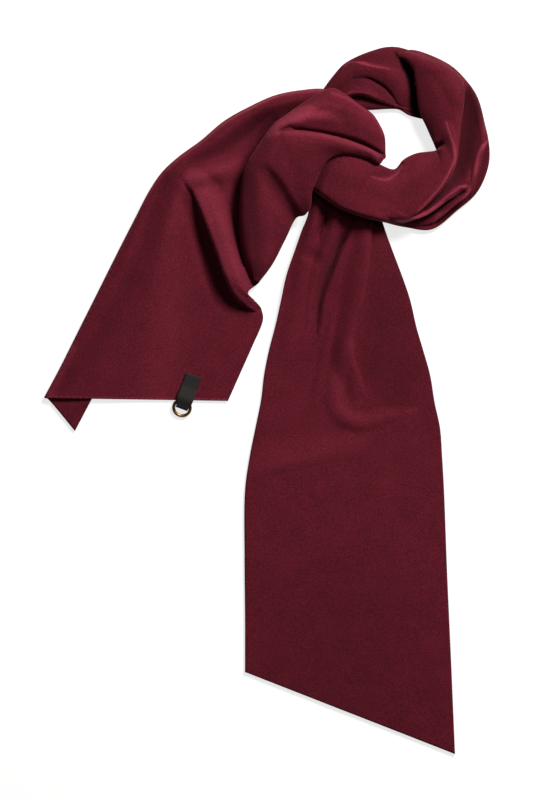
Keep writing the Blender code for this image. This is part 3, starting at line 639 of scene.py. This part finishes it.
def add_cloth(name, net, folds, cell, material, seed, under=(0, 0), painted_light_by_line=None, waves=WAVE_HEIGHT):
    """A stretch of fleece: the net made smooth and its folds laid on it, but not on the lines under it.

    Each point carries the number of its line, which tells its painted light and how much it follows the
    folds.
    """
    lines = net.shape[1]
    line = np.broadcast_to(np.arange(lines, dtype=float)[None, :, None], (*net.shape[:2], 1))
    grid = evenly_spaced_rows(smooth_through(np.concatenate([net, line], axis=2)), cell)
    span = np.linalg.norm(np.diff(net[..., :3], axis=1), axis=-1).max()
    steps = math.ceil(2 * span / cell)
    grid = smooth_through(grid.transpose(1, 0, 2), steps).transpose(1, 0, 2)
    share = np.ones(grid.shape[:2])
    for count, from_rim in zip(under, (grid[..., 3], lines - 1 - grid[..., 3])):
        if count:
            share = np.minimum(share, np.clip((from_rim - count + 1) / 2, 0, 1))
    # Each line's painted light or shade, given in its table.
    grid[..., 3] = np.interp(grid[..., 3], np.arange(lines), painted_light_by_line or (0,) * lines)
    for fold in folds.values():
        grid = lay_fold(grid, share, fold)
    grid = ripple(grid, share, waves, seed)
    # No point below the ground, and no painted shade darker than its limit.
    grid[..., 2:] = np.maximum(grid[..., 2:], (REST, DARKEST_PAINTED_SHADE))
    grid = evenly_spaced_rows(grid.transpose(1, 0, 2), cell).transpose(1, 0, 2)
    return add_sheet(name, grid, material)


def add_hidden_layers(material):
    """The layers inside the knot and the loop: one rounded solid, its edges stepped like a stack."""
    stations = np.array([(x, y, height, half) for x, y, half, height in HIDDEN_LAYERS])
    table = smooth_through(stations, COARSE_STEPS)
    ahead = np.gradient(table[:, :2], axis=0)
    ahead /= np.linalg.norm(ahead, axis=1, keepdims=True)
    across = np.stack([-ahead[:, 1], ahead[:, 0]], axis=1)
    sides = []
    for layer in range(LAYER_COUNT):
        low = layer / LAYER_COUNT
        high = (layer + 1) / LAYER_COUNT
        inset = layer * LAYER_STEP
        sides += [(inset, low), (inset - LAYER_BULGE, low + LAYER_ROUND),
                  (inset - LAYER_BULGE, high - LAYER_ROUND), (inset, high)]
    profile = [(-1, *side) for side in sides] + [(1, *side) for side in reversed(sides)]
    rings = []
    for (x, y, height, half), (side_x, side_y) in zip(table, across):
        outs = [side * max(half - inset, LEAST_HALF) for side, inset, _ in profile]
        rings.append([(x + side_x * out, y + side_y * out, height * level)
                      for out, (_, _, level) in zip(outs, profile)])
    count = len(profile)
    last = (len(rings) - 1) * count
    faces = [[row + at, row + (at + 1) % count, row + count + (at + 1) % count, row + count + at]
             for row in range(0, last, count) for at in range(count)]
    faces += [list(range(count))[::-1], list(range(last, last + count))]
    return add_piece("hidden_layers_fleece", np.array(rings), faces, material)


def tab_frame():
    """The ring's place: X across the tab, Y up the tab, Z square to the ring's plane."""
    height = RING_WIRE / 2 + (RING_OUTSIDE - RING_WIRE) / 2 * math.sin(RING_TILT)
    place = Matrix.Translation(Vector((*RING_CENTRE, height)) * MM)
    return place @ Matrix.Rotation(-TAB_LEAN, 4, "Z") @ Matrix.Rotation(RING_TILT, 4, "X")


def tape_route():
    """The tape's middle from its sewn end round the ring and back, as Y and Z in the ring's frame.

    The second value is how far up from the ring's middle its round bend begins.
    """
    level = tab_frame().inverted()
    apart = RING_WIRE / 2 + SEAM_GAP + TAPE_THICKNESS / 2
    bend = apart - BEND_PAST_CENTRE
    lying = FLEECE + SEAM_GAP + TAPE_THICKNESS / 2
    doubled = lying + TAPE_THICKNESS + SEAM_GAP
    top = TAPE_LENGTH - BEND_PAST_CENTRE

    def at_height(along, height):
        """A point up the tab at a height over the ground."""
        x = RING_CENTRE[0] + math.sin(TAB_LEAN) * along
        y = RING_CENTRE[1] + math.cos(TAB_LEAN) * along
        local = level @ (Vector((x, y, height)) * MM)
        return local.y / MM, local.z / MM

    route = [at_height(along, lying) for along in (top, *LOWER_LAYER)]
    route += [(TAPE_PARTS, -apart), (bend + STRAIGHT_FROM, -apart)]
    route += [(bend - apart * math.sin(turn), -apart * math.cos(turn))
              for turn in (math.pi * step / 8 for step in range(9))]
    route += [(bend + STRAIGHT_FROM, apart), (TAPE_PARTS, apart)]
    route += [at_height(along, doubled + lift) for along, lift in (*UPPER_LAYER, (top, 0))]
    return route, bend


def add_tape(material):
    """The tab's tape, folded double round the ring."""
    route, bend = tape_route()
    route = smooth_through(np.array([(0, y, z) for y, z in route]), COARSE_STEPS)
    place = tab_frame()
    across = np.linspace(-1, 1, TAPE_COLUMNS)
    grid = []
    for _, y, z in route:
        opening = min(max((y - bend) / TAPE_WIDENS_OVER, 0), 1)
        half = (TAPE_BEND_WIDTH + (TAPE_WIDTH - TAPE_BEND_WIDTH) * opening) / 2
        grid.append([(place @ (Vector((half * side, y, z)) * MM)) / MM for side in across])
    return add_sheet("tab_tape_weave", np.array(grid), material, TAPE_THICKNESS)


def add_ring(material):
    """The brass ring in the tape's bend."""
    bpy.ops.mesh.primitive_torus_add(major_segments=128, minor_segments=24,
                                     major_radius=(RING_OUTSIDE - RING_WIRE) / 2 * MM,
                                     minor_radius=RING_WIRE / 2 * MM)
    ring = bpy.context.object
    ring.name = "tab_ring_brass"
    ring.matrix_world = tab_frame()
    ring.data.shade_smooth()
    ring.data.materials.append(material)
    return ring


# ---------------------------------------------------------------- materials

COLOUR_A = 6                                     # a mix node's sockets for colours
COLOUR_B = 7
COLOUR_MIX = 2
DIAGONAL_WAVE = math.tau / (10 * math.sqrt(2))   # spacing of a wave texture's slanting bands at scale 1


def linear(colour):
    """An sRGB hex colour as linear RGBA."""
    parts = [int(colour[at:at + 2], 16) / 255 for at in (0, 2, 4)]
    return (*[part / 12.92 if part <= .04045 else ((part + .055) / 1.055) ** 2.4 for part in parts], 1.0)


def node(tree, kind, inputs=None, **settings):
    """Add a node with its settings; an input is a value or another node's output."""
    item = tree.nodes.new(kind)
    for name, value in settings.items():
        setattr(item, name, value)
    for name, value in (inputs or {}).items():
        if isinstance(value, bpy.types.NodeSocket):
            tree.links.new(value, item.inputs[name])
        else:
            item.inputs[name].default_value = value
    return item


def per_metre(size_in_mm):
    """A pattern's scale from the real size of one of its marks."""
    return 1000.0 / size_in_mm


def new_material(name):
    """An empty material, its node tree and its shader."""
    material = bpy.data.materials.new(name)
    material.use_nodes = True
    return material, material.node_tree, material.node_tree.nodes["Principled BSDF"]


def set_ramp(ramp, *stops):
    """Give a colour ramp its two stops, each a place and a colour."""
    for stop, (place, colour) in zip(ramp.color_ramp.elements, stops):
        stop.position = place
        stop.color = linear(colour)


def set_finish(shader, values):
    """Set what is the same all over a surface on the shader's own sockets."""
    for name, value in values.items():
        shader.inputs[name].default_value = value


def brushed_fleece():
    """Brushed polyester fleece: matt, with a short pile that catches light at grazing angles.

    Its fibres are too fine to show, so the pile is drawn as tufts of 0.9 and 1.5 mm.  Blotches of 22 mm
    are where it was stroked another way.
    """
    material, tree, shader = new_material("burgundy_brushed_fleece")
    place = node(tree, "ShaderNodeTexCoord").outputs["Object"]
    blotches = node(tree, "ShaderNodeTexNoise", {"Vector": place, "Scale": per_metre(22), "Detail": 3.0})
    grain = node(tree, "ShaderNodeTexNoise", {"Vector": place, "Scale": per_metre(1.5), "Detail": 3.0})
    mixed = node(tree, "ShaderNodeMix", {"Factor": .8, "A": blotches.outputs["Fac"],
                                         "B": grain.outputs["Fac"]}, data_type="FLOAT")
    ramp = node(tree, "ShaderNodeValToRGB", {"Fac": mixed.outputs["Result"]})
    set_ramp(ramp, (.36, "400b15"), (.64, "571421"))
    # The folds' painted light and shade lighten or darken the colour, and where it is painted lighter it
    # is mixed a little towards pale pink, a painted highlight.
    lay = node(tree, "ShaderNodeAttribute", attribute_name="painted_light").outputs["Fac"]
    lift = node(tree, "ShaderNodeMath", {0: lay, 1: 1.0}, operation="ADD").outputs["Value"]
    brushed = node(tree, "ShaderNodeVectorMath", {0: ramp.outputs["Color"], "Scale": lift},
                   operation="SCALE").outputs["Vector"]
    painted_highlight_share = node(tree, "ShaderNodeMath", {0: lay, 1: .08}, operation="MULTIPLY",
                use_clamp=True).outputs["Value"]
    painted_highlight_mix = node(tree, "ShaderNodeMix", {"Factor": painted_highlight_share, COLOUR_A: brushed, COLOUR_B: linear("b36173")},
                  data_type="RGBA")
    tree.links.new(painted_highlight_mix.outputs[COLOUR_MIX], shader.inputs["Base Color"])
    tufts = node(tree, "ShaderNodeTexNoise", {"Vector": place, "Scale": per_metre(.9), "Detail": 2.0})
    bump = node(tree, "ShaderNodeBump", {"Height": tufts.outputs["Fac"], "Strength": .4,
                                         "Distance": .5 * MM})
    tree.links.new(bump.outputs["Normal"], shader.inputs["Normal"])
    set_finish(shader, {"Roughness": .95, "Specular IOR Level": .1, "Sheen Weight": .42,
                        "Sheen Roughness": .33, "Sheen Tint": linear("b8505e")})
    return material


def woven_tape():
    """Charcoal cotton twill tape: matt, with the fine slanting ribs of its weave.

    Its ribs are about 0.8 mm apart, and are drawn 1.26 mm apart so that they show.
    """
    material, tree, shader = new_material("charcoal_woven_cotton_tape")
    place = node(tree, "ShaderNodeTexCoord").outputs["Object"]
    ribs = node(tree, "ShaderNodeTexWave",
                {"Vector": place, "Scale": DIAGONAL_WAVE * per_metre(1.2562), "Distortion": .6,
                 "Detail": 1.0}, bands_direction="DIAGONAL")
    threads = node(tree, "ShaderNodeTexNoise", {"Vector": place, "Scale": per_metre(.8), "Detail": 2.0})
    mixed = node(tree, "ShaderNodeMix", {"Factor": .5, "A": ribs.outputs["Fac"],
                                         "B": threads.outputs["Fac"]}, data_type="FLOAT")
    ramp = node(tree, "ShaderNodeValToRGB", {"Fac": mixed.outputs["Result"]})
    set_ramp(ramp, (.35, "121110"), (.7, "2a2625"))
    tree.links.new(ramp.outputs["Color"], shader.inputs["Base Color"])
    bump = node(tree, "ShaderNodeBump", {"Height": mixed.outputs["Result"], "Strength": .5,
                                         "Distance": .2 * MM})
    tree.links.new(bump.outputs["Normal"], shader.inputs["Normal"])
    set_finish(shader, {"Roughness": .9, "Specular IOR Level": .15})
    return material


def antique_brass():
    """Drawn brass wire, chemically darkened and rubbed: brown, with patches of warm yellow where it is
    worn.

    The worn patches are about 3 mm long.
    """
    material, tree, shader = new_material("antiqued_brass_wire")
    place = node(tree, "ShaderNodeTexCoord").outputs["Object"]
    wear = node(tree, "ShaderNodeTexNoise", {"Vector": place, "Scale": per_metre(3), "Detail": 4.0})
    ramp = node(tree, "ShaderNodeValToRGB", {"Fac": wear.outputs["Fac"]})
    set_ramp(ramp, (.4, "5a452c"), (.62, "a98a58"))
    tree.links.new(ramp.outputs["Color"], shader.inputs["Base Color"])
    set_finish(shader, {"Metallic": 1.0, "Roughness": .38})
    return material


# ---------------------------------------------------------------- stage

def pale_ground():
    """Seamless white paper: matt, a little self-lit, as a light table is, so that shadows stay weak."""
    material, _, shader = new_material("white_paper_ground")
    set_finish(shader, {"Base Color": linear("8c8c8b"), "Roughness": .9, "Specular IOR Level": .1,
                        "Emission Color": (1, 1, 1, 1), "Emission Strength": .75})
    return material


def add_ground():
    """The floor that the scarf lies on, half a millimetre lower so that the two don't flicker."""
    bpy.ops.mesh.primitive_plane_add(size=6.0, location=(0, 0, -.0005))
    ground = bpy.context.object
    ground.name = "ground"
    ground.data.materials.append(pale_ground())


def add_light(name, place, target, size, power):
    """A square soft box at a place in metres, turned to its target."""
    lamp = bpy.data.lights.new(name, "AREA")
    lamp.energy = power
    lamp.size = size
    holder = bpy.data.objects.new(name, lamp)
    holder.location = place
    holder.rotation_euler = (Vector(target) - Vector(place)).to_track_quat("-Z", "Y").to_euler()
    bpy.context.scene.collection.objects.link(holder)


def add_lights():
    """One soft key from beyond the neck loop, a wide soft box overhead and an even sky."""
    add_light("key", place=(1.0, 1.55, 1.6), target=(0, .05, 0), size=.75, power=110.0)
    add_light("overhead", place=(0, 0, 2.4), target=(0, 0, 0), size=1.2, power=7.0)
    world = bpy.data.worlds.new("studio")
    world.use_nodes = True
    set_finish(world.node_tree.nodes["Background"], {"Color": (1, 1, 1, 1), "Strength": .03})
    bpy.context.scene.world = world
    bpy.context.scene.view_settings.view_transform = "Standard"


def add_camera():
    """Straight above the scarf, long enough a lens that its heights hardly shift it."""
    lens = bpy.data.cameras.new("camera")
    lens.sensor_fit = "VERTICAL"
    lens.angle = 2 * math.atan(FIELD_LENGTH / 2 / CAMERA_HEIGHT)
    lens.clip_end = 100.0
    camera = bpy.data.objects.new("camera", lens)
    camera.location = (FIELD_MIDDLE[0] * MM, FIELD_MIDDLE[1] * MM, CAMERA_HEIGHT * MM)
    bpy.context.scene.collection.objects.link(camera)
    bpy.context.scene.camera = camera


# ---------------------------------------------------------------- putting it together

def build():
    """Every visible piece, its finish and what it stands for."""
    fleece = brushed_fleece()
    front_tail = add_cloth("front_tail_fleece", straight_sections(FRONT_TAIL), FRONT_TAIL_FOLDS,
                           CELL, fleece, seed=1.3)
    left_tail = add_cloth("left_tail_fleece", turned_under(LEFT_TAIL), LEFT_TAIL_FOLDS,
                          CELL, fleece, seed=4.1, under=(2, 0), painted_light_by_line=LEFT_TAIL_PAINTED_SHADE)
    wrap = add_cloth("wrap_fleece", rolled_under(fold_lines(WRAP), WRAP_ROLL), WRAP_FOLDS,
                     FINE_CELL, fleece, seed=2.2, under=(1, 1), painted_light_by_line=WRAP_PAINTED_LIGHT)
    neck_loop = add_cloth("neck_loop_fleece", rolled_under(fold_lines(NECK_LOOP), NECK_LOOP_ROLL),
                          NECK_LOOP_FOLDS, FINE_CELL, fleece, seed=7.7, under=(1, 1), painted_light_by_line=NECK_LOOP_DARKENING)
    neck_start = add_cloth("neck_start_fleece", rolled_under(fold_lines(NECK_START), NECK_START_ROLL),
                           NECK_START_FOLDS, FINE_CELL, fleece, seed=5.9, under=(1, 1),
                           painted_light_by_line=NECK_START_PAINTED_SHADE, waves=NECK_START_WAVE_HEIGHT)
    hidden_layers = add_hidden_layers(fleece)
    tape = add_tape(woven_tape())
    ring = add_ring(antique_brass())
    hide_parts("front_tail")
    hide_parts("left_tail", "turned_edge")
    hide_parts("wrap")
    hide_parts("neck_loop")
    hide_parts("neck_start")
    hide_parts("hidden_layers")
    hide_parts("tab_tape")
    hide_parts("ring")
    for piece in (front_tail, left_tail, wrap, neck_loop, neck_start, hidden_layers):
        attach(piece, "scarf")
    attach(tape, "scarf")
    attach(ring, "ring")
    add_ground()
    add_lights()
    add_camera()


build()
